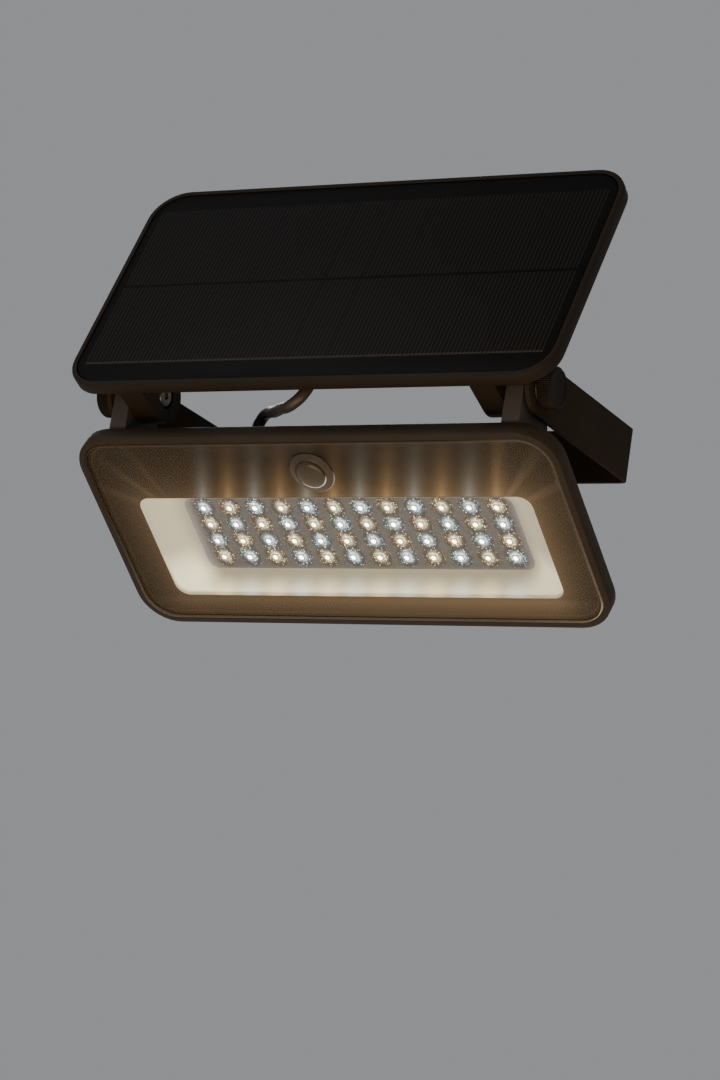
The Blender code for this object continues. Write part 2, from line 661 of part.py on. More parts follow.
def battery():
    """Two round cells side by side, and the cradle between them and the cover."""
    depth = PAN_FLOOR - 0.2 + CELL_RADIUS
    middle = (BAY["z"][0] + BAY["z"][1]) / 2
    reach = CELL_LENGTH / 2
    cell_profile = [(0, CELL_LENGTH), (3, CELL_LENGTH), (3, CELL_LENGTH - 1.2),
                    (CELL_RADIUS - 0.8, CELL_LENGTH - 1.2), (CELL_RADIUS, CELL_LENGTH - 2),
                    (CELL_RADIUS, 0.6), (CELL_RADIUS - 0.6, 0), (0, 0)]
    cradle = slab("battery_cradle", BLACK_PLASTIC, HEAD, (-36, 36), (depth + 1, COVER_BACK - 2.2),
                  (middle - 19.8, middle + 19.8), 3, segments=3)
    for name, side in (("upper", 1), ("lower", -1)):
        z = middle + side * CELL_PITCH / 2
        turned(f"battery_cell_{name}", CELL_WRAP, HEAD, cell_profile,
               (-side * reach, depth, z), (side, 0, 0), steps=24)
        cut(cradle, cylinder(f"cell_seat_{name}", BLACK_PLASTIC, HEAD, "X", (depth, z),
                             (-reach - 0.5, reach + 0.5), CELL_RADIUS + 0.3, sides=28))


# --- fasteners --------------------------------------------------------------------------
def screw_mesh(name, head_radius, head_height, radius, length):
    """A pan-head screw with a cross recess: the head's underside is at height 0."""
    profile = [(0, head_height), (head_radius - 0.7, head_height), (head_radius, 0),
               (radius, 0), (radius, -length), (0, -length)]
    screw = turned(name, STEEL, None, profile, (0, 0, 0), (0, 0, 1), steps=14)
    for i in range(2):
        arm = 0.55 * head_radius
        limits = ((-arm, arm), (-0.35, 0.35))[:: 1 if i else -1]
        cut(screw, block(f"{name}_recess_{i}", STEEL, None, limits[0], limits[1],
                         (head_height - 1.0, head_height + 1)))
    shared = final_mesh(screw)
    for step in list(screw.modifiers):
        bpy.data.objects.remove(step.object) if step.type == "BOOLEAN" else None
    bpy.data.objects.remove(screw)
    return shared


def place_screw(name, mesh, parent, place, direction):
    part = bpy.data.objects.new(name, mesh)
    part.parent = parent
    part.location = [v * MM for v in place]
    part.rotation_euler = Vector(direction).to_track_quat("Z", "Y").to_euler()
    PARTS.objects.link(part)


def housing_screws():
    long = screw_mesh("bezel_screw_mesh", 2.6, 1.7, 1.3, 6.0)
    short = screw_mesh("battery_screw_mesh", 2.6, 1.7, 1.3, 4.0)
    back = (0, 1, 0)
    for i, (x, z) in enumerate(BEZEL_SCREWS):
        for name, side in SIDES:
            place_screw(f"bezel_screw_{name}_{i + 1}", long, HEAD,
                        (side * x, FLANGE_BACK + 0.1, z), back)
    for name, side in SIDES:
        place_screw(f"battery_screw_{name}", short, HEAD,
                    (side * BATTERY_SCREW[0], COVER_FRONT + 2.1, BATTERY_SCREW[1]), back)


# --- panel ------------------------------------------------------------------------------
PANEL_X = (-PANEL_HALF, PANEL_HALF)
PANEL_Z = (PANEL_BOTTOM, PANEL_TOP)


def panel_frame():
    """The panel's tray, with a lug on its back at each side for the hinge bolt."""
    rim, floor = 2.4, 2.0
    tray = slab("panel_frame", BLACK_PLASTIC, PANEL, PANEL_X, (PANEL_FRONT, PANEL_BACK),
                PANEL_Z, PANEL_CORNER, segments=9)
    soften(tray, 0.7)
    recess = slab("panel_recess", BLACK_PLASTIC, PANEL, inset(PANEL_X, rim),
                  (PANEL_FRONT - 1, PANEL_BACK - floor), inset(PANEL_Z, rim),
                  PANEL_CORNER - rim, segments=9)
    cut(tray, recess)
    for name, side in SIDES:
        base = PANEL_BACK - 0.8
        outline = hull_with_circle(LUG_RADIUS, [(base, PANEL_BOTTOM + 0.8), (base, 26)])
        lug = outline_part(f"panel_lug_{name}", BLACK_PLASTIC, PANEL, outline, "X",
                           sided(LUG_X, side))
        seat = cylinder(f"bolt_seat_{name}", BLACK_PLASTIC, PANEL, "X", (0, 0),
                        sided((LUG_X[0] - 1, LUG_X[0] + 2.6), side), 5.6)
        join(tray, lug)
        cut(tray, seat)
    bore = cylinder("lug_bore", BLACK_PLASTIC, PANEL, "X", (0, 0),
                    (-LUG_X[1] - 1, LUG_X[1] + 1), BORE_RADIUS + 0.1, sides=24)
    cut(tray, bore)
    slab("panel_glass", PANEL_GLASS, PANEL, inset(PANEL_X, rim + GAP),
         (PANEL_FRONT + 0.3, PANEL_BACK - floor - 1.3), inset(PANEL_Z, rim + GAP),
         PANEL_CORNER - rim - GAP, segments=9)
    slab("cell_sheet", CELL_DARK, PANEL, inset(PANEL_X, rim + 1),
         (PANEL_BACK - floor - 1.0, PANEL_BACK - floor - GAP), inset(PANEL_Z, rim + 1),
         PANEL_CORNER - rim - 1)


def junction_box():
    """The box on the panel's back that holds the leads' joint, and its screwed lid."""
    x, z = (-30, 26), (0, 34)
    front, back, wall = PANEL_BACK + GAP, -5.4, 1.8
    box = slab("junction_box", BLACK_PLASTIC, PANEL, x, (front, back), z, 4, segments=4)
    room = slab("junction_room", BLACK_PLASTIC, PANEL, inset(x, wall), (front + wall, back + 1),
                inset(z, wall), 2.5, segments=3)
    cut(box, room)
    lid = slab("junction_lid", BLACK_PLASTIC, PANEL, x, (back + GAP, back + 2.0), z, 4,
               segments=4)
    soften(lid, 0.5, segments=1)
    middle = (z[0] + z[1]) / 2
    screw = screw_mesh("lid_screw_mesh", 2.2, 1.3, 1.1, 4.5)
    for i, at in enumerate((x[0] + 5.0, x[1] - 5.0)):
        post = block(f"lid_post_{i}", BLACK_PLASTIC, PANEL, (at - 3.6, at + 3.6),
                     (front + 1, back), (middle - 3.6, middle + 3.6))
        join(box, post)
        hole = cylinder(f"lid_hole_{i}", BLACK_PLASTIC, PANEL, "Y", (at, middle),
                        (back - 5.2, back + 3), 1.4, sides=16)
        cut(box, hole)
        cut(lid, hole)
        place_screw(f"lid_screw_{i + 1}", screw, PANEL, (at, back + 2.1, middle), (0, 1, 0))


# --- cable and its glands -----------------------------------------------------------------
def gland(name, parent, place, direction, length):
    """A ribbed strain relief whose cable end is at its tip."""
    profile = [(0, length), (3.3, length), (3.5, length - 0.6), (3.9, length * 0.45),
               (4.5, length * 0.45), (4.5, 0), (0, 0)]
    turned(name, RUBBER, parent, profile, place, direction)


def smooth_route(points, spacing):
    """Points at about the given spacing along a Catmull-Rom curve through points."""
    ends = [Vector(p) for p in points]
    ends = [2 * ends[0] - ends[1]] + ends + [2 * ends[-1] - ends[-2]]
    found = []
    for a, b, c, d in zip(ends, ends[1:], ends[2:], ends[3:]):
        steps = max(1, round((c - b).length / spacing))
        for i in range(steps):
            t = i / steps
            found.append(0.5 * (2 * b + (c - a) * t + (2 * a - 5 * b + 4 * c - d) * t * t
                                + (3 * b - a - 3 * c + d) * t * t * t))
    return found + [ends[-2]]


def link_cable():
    """The cable leaves each gland straight before it follows its route."""
    start, away = 0.45, 2.6
    from_head = [HEAD.matrix_basis @ (Vector((HEAD_GLAND[0], HEAD_GLAND_TIP + by,
                                              HEAD_GLAND[1])) * MM) / MM
                 for by in (start, away)]
    to_panel = [PANEL.matrix_basis @ (Vector((*PANEL_GLAND, PANEL_GLAND_TIP - by)) * MM) / MM
                for by in (away, start)]
    curve = bpy.data.curves.new("link_cable", "CURVE")
    curve.dimensions = "3D"
    curve.bevel_depth = CABLE_RADIUS * MM
    curve.bevel_resolution = 3
    curve.use_fill_caps = True
    route = smooth_route([*from_head, *CABLE_ROUTE, *to_panel], 3.0)
    line = curve.splines.new("POLY")
    line.points.add(len(route) - 1)
    for point, place in zip(line.points, route):
        point.co = (*(place * MM), 1.0)
    curve.materials.append(CABLE_JACKET)
    cable = bpy.data.objects.new("link_cable", curve)
    cable.parent = BRACKET
    PARTS.objects.link(cable)


def build():
    wall_bracket()
    for name, side in SIDES:
        hinge_hardware(name, side)
        knob(name, side)
    front_bezel()
    lens()
    seal = LENS_INSET + 0.6
    flat_ring("lens_seal", RUBBER, HEAD, inset(HEAD_X, seal), (LENS_BACK + 0.2, LEDGE - 0.2),
              inset(HEAD_Z, seal), HEAD_CORNER - seal, 4.5)
    rear_housing()
    battery_cover()
    reflector()
    led_board()
    motion_sensor()
    control_board()
    mode_button()
    battery()
    housing_screws()
    panel_frame()
    junction_box()
    gland("head_gland", HEAD, (HEAD_GLAND[0], PAN_BACK + 0.2, HEAD_GLAND[1]), (0, 1, 0),
          HEAD_GLAND_TIP - PAN_BACK - 0.2)
    gland("panel_gland", PANEL, (PANEL_GLAND[0], PANEL_GLAND[1], -0.2), (0, 0, -1),
          -0.2 - PANEL_GLAND_TIP)
    link_cable()


build()
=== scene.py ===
"""Looks of the wall-mounted solar flood light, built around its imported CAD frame.

Lengths named in millimetres are scaled by MM. Pieces of the head and of the panel are modelled
in the frames of their hinges, as the CAD is, with their fronts towards -Y.
"""

import math

import bmesh
import bpy
from mathutils import Matrix, Vector


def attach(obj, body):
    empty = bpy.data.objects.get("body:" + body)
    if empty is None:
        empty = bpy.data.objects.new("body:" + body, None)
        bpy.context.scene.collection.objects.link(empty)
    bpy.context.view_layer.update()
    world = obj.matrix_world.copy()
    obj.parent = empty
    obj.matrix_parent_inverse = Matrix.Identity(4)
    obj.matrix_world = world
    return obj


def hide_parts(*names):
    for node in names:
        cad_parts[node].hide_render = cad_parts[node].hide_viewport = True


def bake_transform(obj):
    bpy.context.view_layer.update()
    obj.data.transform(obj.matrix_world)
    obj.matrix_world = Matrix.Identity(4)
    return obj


MM = 0.001
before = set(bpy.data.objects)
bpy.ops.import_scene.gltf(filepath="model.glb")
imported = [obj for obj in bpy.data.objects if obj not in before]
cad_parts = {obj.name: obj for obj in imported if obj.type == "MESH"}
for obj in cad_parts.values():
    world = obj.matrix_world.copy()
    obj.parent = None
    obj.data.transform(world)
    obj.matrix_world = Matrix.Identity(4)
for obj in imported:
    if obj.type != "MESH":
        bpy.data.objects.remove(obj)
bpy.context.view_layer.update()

HINGE = Vector((0, -92, 0)) * MM
HEAD = Matrix.Translation(HINGE) @ Matrix.Rotation(math.radians(56.5), 4, "X")
PANEL = Matrix.Translation(HINGE) @ Matrix.Rotation(math.radians(-24.7), 4, "X")
WORLD = Matrix.Identity(4)

LENS_X, LENS_Z, LENS_CORNER = 114.9, (-103.1, -4.1), 13.9
LENS_FRONT, LENS_BACK, PRINT_FRONT = -29.6, -27.1, -27.4
WINDOW_X, WINDOW_Z, WINDOW_CORNER = 97.3, (-91.5, -35.6), 6.0
SENSOR_Z, SENSOR_HOLE = -19.5, 7.4
COLUMNS, ROWS, PITCH_X, PITCH_Z = 12, 4, 13.3, 9.3
FIRST_X, FIRST_Z = -(COLUMNS - 1) / 2 * PITCH_X, -50.1
BOARD_FRONT = -15.8
HEAD_GLAND_X, HEAD_GLAND_Z = -42.0, -20.5
HEAD_GLAND_FOOT, HEAD_GLAND_TIP = -10.8, -4.5
PANEL_GLAND_X, PANEL_GLAND_Y = -2.0, -9.5
PANEL_GLAND_FOOT, PANEL_GLAND_TIP = -0.2, -4.0

# The link cable's run between its glands, the same as in part.py. An optimiser found the points.
CABLE_ROUTE = [(-41.6, -74.9, -7.9), (-38.4, -76.4, -4.3), (-34.3, -79.5, -3.9),
               (-30.6, -83.0, -5.1), (-26.9, -86.6, -6.2), (-23.2, -90.3, -6.9),
               (-19.6, -94.0, -7.6), (-16.0, -97.7, -8.5), (-12.3, -101.3, -9.5),
               (-8.1, -104.3, -9.4), (-3.9, -104.9, -6.5)]
CABLE_RADIUS = 2.55
CABLE_FIXED = 5  # the route's point by the bracket, where the cable's two halves meet

# Where the LEDs' light is painted as leaning streaks on the print above the window.
STREAK_LEAN, STREAK_FOOT = 0.362, -41.8
STREAK_FIRST, STREAK_PITCH = -64.8, 13.17

DARK_BROWN = (0.0330, 0.0215, 0.0125)
# GLOW_BROWN is the colour of the LEDs' light painted as glow on the lens print and the sensor.
GLOW_BROWN = (1.0, 0.63, 0.31)
FLOOR_HEIGHT, FLOOR_HALF = -0.9, 6000


# --- camera and light -------------------------------------------------------------------
def camera():
    data = bpy.data.cameras.new("camera")
    data.sensor_width = 36.0
    data.lens = 118.43
    data.clip_start, data.clip_end = 0.05, 60
    made = bpy.data.objects.new("camera", data)
    right = Vector((0.86962, 0.4718, 0.14548))
    down = Vector((0.00199, 0.29131, -0.95663))
    forward = right.cross(down).normalized()
    turn = Matrix((right, -down, -forward)).transposed().to_4x4()
    made.matrix_world = Matrix.Translation((0.7652, -1.334, -0.4425)) @ turn
    bpy.context.scene.collection.objects.link(made)
    bpy.context.scene.camera = made


def area_light(name, place, aim, size, power, colour):
    data = bpy.data.lights.new(name, "AREA")
    data.shape = "RECTANGLE"
    data.size, data.size_y = size
    data.energy = power
    data.color = colour
    lamp = bpy.data.objects.new(name, data)
    lamp.location = place
    lamp.rotation_euler = (Vector(aim) - Vector(place)).to_track_quat("-Z", "Y").to_euler()
    bpy.context.scene.collection.objects.link(lamp)


def studio():
    world = bpy.data.worlds.new("studio")
    bpy.context.scene.world = world
    world.use_nodes = True
    backdrop = world.node_tree.nodes["Background"]
    backdrop.inputs["Color"].default_value = (0.44, 0.455, 0.47, 1)
    backdrop.inputs["Strength"].default_value = 0.66
    middle = (0, -0.09, 0)
    area_light("key", (-0.9, -1.3, 1.3), middle, (1.0, 1.0), 8, (0.95, 0.97, 1.0))
    area_light("side", (1.5, -0.5, 0.7), middle, (0.9, 0.9), 0.7, (1.0, 0.93, 0.86))
    area_light("low_side", (0.75, -0.55, -0.75), middle, (0.5, 0.5), 2.6, (1.0, 0.78, 0.52))
    area_light("back", (-0.8, 1.4, 0.9), middle, (1.2, 0.9), 26, (0.98, 0.98, 1.0))
    area_light("bounce", (0.1, -0.80, -0.66), middle, (0.8, 0.5), 5.0, (1.0, 0.80, 0.58))


# --- meshes -----------------------------------------------------------------------------
def rounded(x_half, z, radius, steps=8, x_middle=0.0):
    """The (x, z) points of a rounded rectangle."""
    middle, half = (z[0] + z[1]) / 2, (z[1] - z[0]) / 2
    points = []
    for quarter, (side_x, side_z) in enumerate(((1, 1), (-1, 1), (-1, -1), (1, -1))):
        for i in range(steps + 1):
            angle = math.pi / 2 * (quarter + i / steps)
            points.append((x_middle + side_x * (x_half - radius) + radius * math.cos(angle),
                           middle + side_z * (half - radius) + radius * math.sin(angle)))
    return points


def circle(radius, steps, x=0.0, z=0.0):
    return [(x + radius * math.cos(2 * math.pi * i / steps),
             z + radius * math.sin(2 * math.pi * i / steps)) for i in range(steps)]


def finish_piece(name, data, materials, place, body, smooth=35):
    """An object from a bmesh in millimetres that rides on a CAD body."""
    bmesh.ops.recalc_face_normals(data, faces=data.faces)
    bmesh.ops.scale(data, vec=(MM, MM, MM), verts=data.verts)
    mesh = bpy.data.meshes.new(name)
    data.to_mesh(mesh)
    data.free()
    for finish in materials:
        mesh.materials.append(finish)
    mesh.shade_smooth()
    mesh.set_sharp_from_angle(angle=math.radians(smooth))
    piece = bpy.data.objects.new(name, mesh)
    piece.matrix_world = place
    bpy.context.scene.collection.objects.link(piece)
    if body:
        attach(piece, body)
    return piece


def loft(data, loops, closed=False, caps=True, slots=None):
    """Quads between loops of equally many points, with slots[i] the material of band i."""
    made = [[data.verts.new(point) for point in loop] for loop in loops]
    pairs = list(zip(made, made[1:] + made[:1] if closed else made[1:]))
    for band, (near, far) in enumerate(pairs):
        for i in range(len(near)):
            following = (i + 1) % len(near)
            face = data.faces.new((near[i], near[following], far[following], far[i]))
            face.material_index = slots[band] if slots else 0
    if caps and not closed:
        for loop, slot in ((made[0], 0), (made[-1], -1)):
            face = data.faces.new(loop)
            face.material_index = slots[slot] if slots else 0


def at_y(points, y):
    return [(x, y, z) for x, z in points]


def turned(data, profile, steps, place=(0, 0, 0), direction=(0, -1, 0), slots=None):
    """A turned solid from (radius, height) points that start and end on the axis."""
    turn = Vector(direction).to_track_quat("Z", "Y").to_matrix().to_4x4()
    move = Matrix.Translation(place) @ turn
    loops, ends = [], []
    for radius, height in profile:
        if radius == 0:
            ends.append(data.verts.new(move @ Vector((0, 0, height))))
        else:
            loops.append([data.verts.new(move @ Vector((radius * math.cos(a),
                                                        radius * math.sin(a), height)))
                          for a in (2 * math.pi * i / steps for i in range(steps))])
    for band, (near, far) in enumerate(zip(loops, loops[1:])):
        for i in range(steps):
            following = (i + 1) % steps
            face = data.faces.new((near[i], near[following], far[following], far[i]))
            face.material_index = slots[band] if slots else 0
    for end, loop, slot in ((ends[0], loops[0], 0), (ends[-1], loops[-1], -1)):
        for i in range(steps):
            face = data.faces.new((end, loop[i], loop[(i + 1) % steps]))
            face.material_index = slots[slot] if slots else 0


# --- procedural materials ---------------------------------------------------------------
class Field:
    """A number that varies over a surface. Arithmetic on it adds Math nodes."""

    def __init__(self, paint, socket):
        self.paint, self.socket = paint, socket

    def do(self, operation, *others):
        node = self.paint.tree.nodes.new("ShaderNodeMath")
        node.operation = operation
        for slot, value in zip(node.inputs, (self, *others)):
            self.paint.feed(slot, value)
        return Field(self.paint, node.outputs[0])

    def __add__(self, other):
        return self.do("ADD", other)

    def __sub__(self, other):
        return self.do("SUBTRACT", other)

    def __mul__(self, other):
        return self.do("MULTIPLY", other)

    def __truediv__(self, other):
        return self.do("DIVIDE", other)

    def __rsub__(self, other):
        return self * -1 + other

    def smooth(self, low, high):
        """0 below low, 1 above high, smooth between them; low may be the larger."""
        node = self.paint.tree.nodes.new("ShaderNodeMapRange")
        node.interpolation_type = "SMOOTHSTEP"
        swap = low > high
        self.paint.feed(node.inputs["Value"], self)
        node.inputs["From Min"].default_value = high if swap else low
        node.inputs["From Max"].default_value = low if swap else high
        node.inputs["To Min"].default_value = 1 if swap else 0
        node.inputs["To Max"].default_value = 0 if swap else 1
        return Field(self.paint, node.outputs["Result"])

    def decay(self, length):
        """exp(-self / length)"""
        return (self * (-1 / length)).do("EXPONENT")

    def bell(self, width):
        """exp(-(self / width) ** 2)"""
        return (self * self * (-1 / width ** 2)).do("EXPONENT")


class Paint:
    """A Principled material whose colours and relief are built from Fields."""

    def __init__(self, name, colour=(0.5, 0.5, 0.5), roughness=0.5, **inputs):
        self.material = bpy.data.materials.new(name)
        self.material.use_nodes = True
        self.tree = self.material.node_tree
        self.shader = self.tree.nodes["Principled BSDF"]
        self.set(Base_Color=(*colour, 1), Roughness=roughness, **inputs)
        self.coordinates = self.tree.nodes.new("ShaderNodeTexCoord")
        self.point = self.parts = None

    def set(self, **inputs):
        for name, value in inputs.items():
            self.shader.inputs[name.replace("_", " ")].default_value = value

    def feed(self, slot, value):
        if isinstance(value, Field):
            self.tree.links.new(value.socket, slot)
        elif isinstance(value, bpy.types.NodeSocket):
            self.tree.links.new(value, slot)
        else:
            slot.default_value = value

    def xyz(self):
        """The object's own coordinates, in millimetres, as three Fields."""
        if self.parts is None:
            scale = self.tree.nodes.new("ShaderNodeVectorMath")
            scale.operation = "SCALE"
            self.tree.links.new(self.coordinates.outputs["Object"], scale.inputs[0])
            scale.inputs["Scale"].default_value = 1 / MM
            split = self.tree.nodes.new("ShaderNodeSeparateXYZ")
            self.tree.links.new(scale.outputs[0], split.inputs[0])
            self.point = scale.outputs[0]
            self.parts = [Field(self, s) for s in split.outputs]
        return self.parts

    def noise(self, size, detail=2.0, stretch=(1, 1, 1)):
        """Noise from 0 to 1 whose lumps are about size millimetres."""
        self.xyz()
        node = self.tree.nodes.new("ShaderNodeTexNoise")
        node.inputs["Scale"].default_value = 1 / size
        node.inputs["Detail"].default_value = detail
        move = self.tree.nodes.new("ShaderNodeVectorMath")
        move.operation = "MULTIPLY"
        self.tree.links.new(self.point, move.inputs[0])
        move.inputs[1].default_value = stretch
        self.tree.links.new(move.outputs[0], node.inputs["Vector"])
        return Field(self, node.outputs["Fac"])

    def cells(self, size, randomness=0.8):
        """(distance from the nearest cell's middle, and two random numbers for each cell)"""
        self.xyz()
        node = self.tree.nodes.new("ShaderNodeTexVoronoi")
        node.inputs["Scale"].default_value = 1 / size
        node.inputs["Randomness"].default_value = randomness
        self.tree.links.new(self.point, node.inputs["Vector"])
        split = self.tree.nodes.new("ShaderNodeSeparateColor")
        self.tree.links.new(node.outputs["Color"], split.inputs[0])
        return (Field(self, node.outputs["Distance"]), Field(self, split.outputs[0]),
                Field(self, split.outputs[1]))

    def tint(self, colour, amount):
        """colour times a Field."""
        node = self.tree.nodes.new("ShaderNodeVectorMath")
        node.operation = "SCALE"
        self.feed(node.inputs[0], colour)
        self.feed(node.inputs["Scale"], amount)
        return node.outputs[0]

    def total(self, *colours):
        sum_so_far = colours[0]
        for colour in colours[1:]:
            node = self.tree.nodes.new("ShaderNodeVectorMath")
            node.operation = "ADD"
            self.feed(node.inputs[0], sum_so_far)
            self.feed(node.inputs[1], colour)
            sum_so_far = node.outputs[0]
        return sum_so_far

    def mix(self, amount, first, second):
        """first where amount is 0, second where it is 1."""
        node = self.tree.nodes.new("ShaderNodeMix")
        node.data_type = "RGBA"
        self.feed(node.inputs[0], amount)
        for slot, colour in ((node.inputs[6], first), (node.inputs[7], second)):
            self.feed(slot, (*colour, 1) if isinstance(colour, tuple) else colour)
        return node.outputs[2]

    def relief(self, height, distance, strength=1.0):
        """Relief of that many millimetres for a height from 0 to 1."""
        node = self.tree.nodes.new("ShaderNodeBump")
        node.inputs["Strength"].default_value = strength
        node.inputs["Distance"].default_value = distance * MM
        self.feed(node.inputs["Height"], height)
        self.tree.links.new(node.outputs[0], self.shader.inputs["Normal"])
        return self

    def link(self, **inputs):
        for name, value in inputs.items():
            self.feed(self.shader.inputs[name.replace("_", " ")], value)
        return self


def moulded(name, colour, roughness=0.55, grain=0.7, depth=0.03, spread=0.25, shine=0.22):
    """Moulded plastic or rubber: a fine grain, faint flow marks and uneven sheen."""
    paint = Paint(name, colour, roughness, Specular_IOR_Level=shine)
    broad, fine = paint.noise(28, 3), paint.noise(grain, 3)
    worn = paint.noise(6, 4)
    low = tuple(c * (1 - spread) for c in colour)
    high = tuple(c * (1 + spread) for c in colour)
    shade = broad * 0.6 + fine * 0.4
    paint.link(Base_Color=paint.mix(shade, low, high),
               Roughness=worn * 0.16 + (roughness - 0.08))
    return paint.relief(fine, depth).material


def housing_finish():
    """The rear housing's brown plastic, with a painted highlight that makes the front of its two
    ears paler where they catch the light.
    """
    paint = Paint("housing_plastic", DARK_BROWN, 0.5, Specular_IOR_Level=0.14)
    x, _, z = paint.xyz()
    across = x.do("ABSOLUTE")
    ear = across.smooth(92.2, 92.7) * across.smooth(101.3, 100.9) * z.smooth(-24, -16)
    ear = ear * z.smooth(-0.5, -3.0)
    broad, fine = paint.noise(28, 3), paint.noise(0.6, 3)
    shade = broad * 0.6 + fine * 0.4
    brown = paint.mix(shade, tuple(c * 0.75 for c in DARK_BROWN),
                      tuple(c * 1.35 for c in DARK_BROWN))
    # painted highlight: the paler front faces of the ears, below the hinge, where the light
    # falls on them
    lit_ear_fronts = paint.mix(fine, (0.046, 0.038, 0.033), (0.066, 0.055, 0.048))
    paint.link(Base_Color=paint.mix(ear, brown, lit_ear_fronts), Roughness=broad * 0.16 + 0.42)
    return paint.relief(fine, 0.03).material


def metal(name, colour, roughness=0.3, stretch=(1, 1, 1), depth=0.012):
    paint = Paint(name, colour, roughness, Metallic=1.0)
    brushed, broad = paint.noise(0.35, 3, stretch), paint.noise(4, 3)
    low = tuple(c * 0.72 for c in colour)
    paint.link(Base_Color=paint.mix(broad, low, colour),
               Roughness=brushed * 0.2 + broad * 0.12 + (roughness - 0.12))
    return paint.relief(brushed, depth).material


def board_finish(name, colour, trace):
    """A printed circuit board: solder mask over faint copper tracks."""
    paint = Paint(name, colour, 0.4)
    x, _, z = paint.xyz()
    tracks = ((x * 1.9).do("SINE") * (z * 1.3 + (x * 0.21).do("SINE") * 3).do("SINE"))
    line = tracks.do("ABSOLUTE").smooth(0.10, 0.04)
    speck = paint.noise(1.5, 3)
    paint.link(Base_Color=paint.mix(line * 0.7 + speck * 0.15, colour, trace),
               Roughness=speck * 0.2 + 0.3)
    return paint.relief(line, 0.03).material


def prism_height(paint, pitch):
    """The relief of a sheet of tiny pyramids, in a diagonal grid."""
    x, _, z = paint.xyz()
    turn = math.pi / pitch / math.sqrt(2)
    first = ((x + z) * turn).do("SINE").do("ABSOLUTE")
    second = ((x - z) * turn).do("SINE").do("ABSOLUTE")
    return first * second


def outside_window(paint):
    """Millimetres from the window's rounded edge, for a place outside it."""
    x, _, z = paint.xyz()
    middle, half = sum(WINDOW_Z) / 2, (WINDOW_Z[1] - WINDOW_Z[0]) / 2
    over_x = (x.do("ABSOLUTE") - (WINDOW_X - WINDOW_CORNER)).do("MAXIMUM", 0)
    over_z = ((z - middle).do("ABSOLUTE") - (half - WINDOW_CORNER)).do("MAXIMUM", 0)
    return ((over_x * over_x + over_z * over_z).do("SQRT") - WINDOW_CORNER).do("MAXIMUM", 0)


def from_lens_edge(paint):
    """How far out a place lies from the rectangle through the lens's corner centres."""
    x, _, z = paint.xyz()
    middle, half = sum(LENS_Z) / 2, (LENS_Z[1] - LENS_Z[0]) / 2
    over_x = (x.do("ABSOLUTE") - (LENS_X - LENS_CORNER)).do("MAXIMUM", 0)
    over_z = ((z - middle).do("ABSOLUTE") - (half - LENS_CORNER)).do("MAXIMUM", 0)
    return (over_x * over_x + over_z * over_z).do("SQRT")


def outside_leds(paint):
    """Millimetres from the rectangle that holds the LEDs."""
    x, _, z = paint.xyz()
    over_x = (x.do("ABSOLUTE") + FIRST_X).do("MAXIMUM", 0)
    over_z = ((z - FIRST_Z + 1.5 * PITCH_Z).do("ABSOLUTE") - 1.5 * PITCH_Z).do("MAXIMUM", 0)
    return (over_x * over_x + over_z * over_z).do("SQRT")


def led_grid(paint):
    """(mm from the nearest LED in x, in z, and 1 where that LED is warm or 0 where cool)"""
    x, _, z = paint.xyz()
    column = ((x - FIRST_X) / PITCH_X).do("ROUND").do("MAXIMUM", 0).do("MINIMUM", COLUMNS - 1)
    row = ((FIRST_Z - z) / PITCH_Z).do("ROUND").do("MAXIMUM", 0).do("MINIMUM", ROWS - 1)
    warm = (column + row).do("MODULO", 2.0)
    return x - (column * PITCH_X + FIRST_X), z - (row * -PITCH_Z + FIRST_Z), warm


def streaks(paint, above):
    """(the brightness of the painted light streaks over the upper LEDs, and 1 where a streak is
    warm)
    """
    x, _, z = paint.xyz()
    leaning = x - (z - STREAK_FOOT) * STREAK_LEAN
    column = ((leaning - STREAK_FIRST) / STREAK_PITCH).do("ROUND").do("MAXIMUM", 0)
    column = column.do("MINIMUM", COLUMNS - 1)
    along = leaning - (column * STREAK_PITCH + STREAK_FIRST)
    soft = along.bell(3.9) * above.decay(13.0) * above.smooth(0.0, 0.8)
    sharp = along.bell(1.5) * above.decay(4.5) * above.smooth(0.0, 0.6)
    return soft + sharp * 0.9, column.do("MODULO", 2.0)


def corner_rays(paint, away):
    """Painted light rays that fan out from the window's upper corners."""
    x, _, z = paint.xyz()
    corner_x = x.do("ABSOLUTE") - 76.0
    corner_z = z + 48.0
    angle = corner_z.do("ARCTAN2", corner_x)
    rays = (angle * 17).do("SINE").smooth(0.1, 1.0) * corner_x.smooth(2, 12)
    return rays * away.decay(13.0) * corner_z.smooth(4, 18)


def dotted_line(paint):
    """A dotted line of painted glow just inside the lens's edge."""
    x, _, z = paint.xyz()
    dots = ((x * 3.1).do("SINE") * (z * 3.1).do("SINE")).do("ABSOLUTE") * 0.8 + 0.4
    inside = LENS_CORNER - from_lens_edge(paint)
    return (inside - 2.4).bell(0.4) * dots


